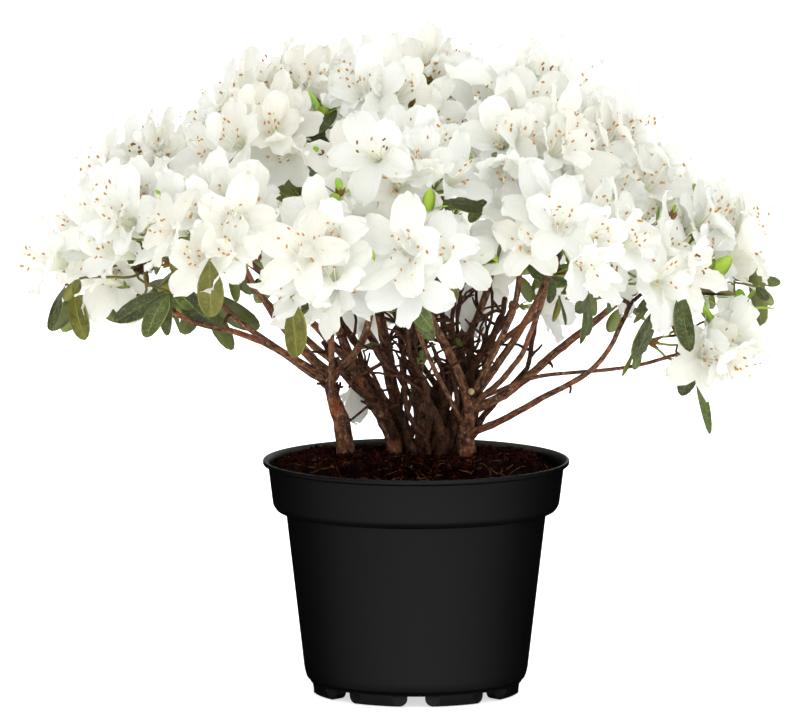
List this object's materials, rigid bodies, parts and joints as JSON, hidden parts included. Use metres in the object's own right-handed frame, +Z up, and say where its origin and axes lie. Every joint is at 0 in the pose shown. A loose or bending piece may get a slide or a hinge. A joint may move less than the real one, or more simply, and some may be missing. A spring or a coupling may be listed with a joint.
{
  "type": "potted azalea shrub",
  "caption": "Broad dome of white blossom and evergreen leaves on branching woody stems, growing from mounded peat in a round black plastic nursery pot.",
  "frame": {"origin": "middle of the flat underside of the pot, on the pot's axis, at the level that it stands on", "axes": "+Z up, -Y towards the side from which the plant looks its best, +X to the right as seen from there"},
  "size_m": [0.4567, 0.4017, 0.4122],
  "materials": {
    "pot_plastic": "black, satin, moulded",
    "peat": "moist dark peat with pale fibres",
    "bark": "brown bark, matt, finely ridged",
    "foliage_and_blossom": "white petals over dark green leaves"
  },
  "bodies": {
    "root": {"bough_back": "bark", "bough_back_left": "bark", "bough_back_right": "bark", "bough_front_left": "bark", "bough_front_low": "bark", "bough_front_middle": "bark", "bough_front_near_left": "bark", "bough_front_right": "bark", "bough_left_back": "bark", "bough_left_front": "bark", "bough_left_low": "bark", "bough_left_upper": "bark", "bough_right": "bark", "bough_right_back": "bark", "bough_right_front": "bark", "bough_right_low": "bark", "bough_right_upper": "bark", "bough_top": "bark", "bough_top_front": "bark", "bough_top_left": "bark", "bough_top_right": "bark", "bough_upper_back_left": "bark", "bough_upper_back_right": "bark", "bough_upper_left": "bark", "bough_upper_right": "bark", "mass_back": "foliage_and_blossom", "mass_back_left": "foliage_and_blossom", "mass_back_right": "foliage_and_blossom", "mass_front_left": "foliage_and_blossom", "mass_front_low": "foliage_and_blossom", "mass_front_middle": "foliage_and_blossom", "mass_front_near_left": "foliage_and_blossom", "mass_front_right": "foliage_and_blossom", "mass_left_back": "foliage_and_blossom", "mass_left_front": "foliage_and_blossom", "mass_left_low": "foliage_and_blossom", "mass_left_upper": "foliage_and_blossom", "mass_right": "foliage_and_blossom", "mass_right_back": "foliage_and_blossom", "mass_right_front": "foliage_and_blossom", "mass_right_low": "foliage_and_blossom", "mass_right_upper": "foliage_and_blossom", "mass_top": "foliage_and_blossom", "mass_top_front": "foliage_and_blossom", "mass_top_left": "foliage_and_blossom", "mass_top_right": "foliage_and_blossom", "mass_upper_back_left": "foliage_and_blossom", "mass_upper_back_right": "foliage_and_blossom", "mass_upper_left": "foliage_and_blossom", "mass_upper_right": "foliage_and_blossom", "pot": "pot_plastic", "soil": "peat", "stem_left": "bark", "stem_middle": "bark", "stem_middle_left": "bark", "stem_rear": "bark", "stem_rear_left": "bark", "stem_right": "bark"}
  },
  "joints": []
}
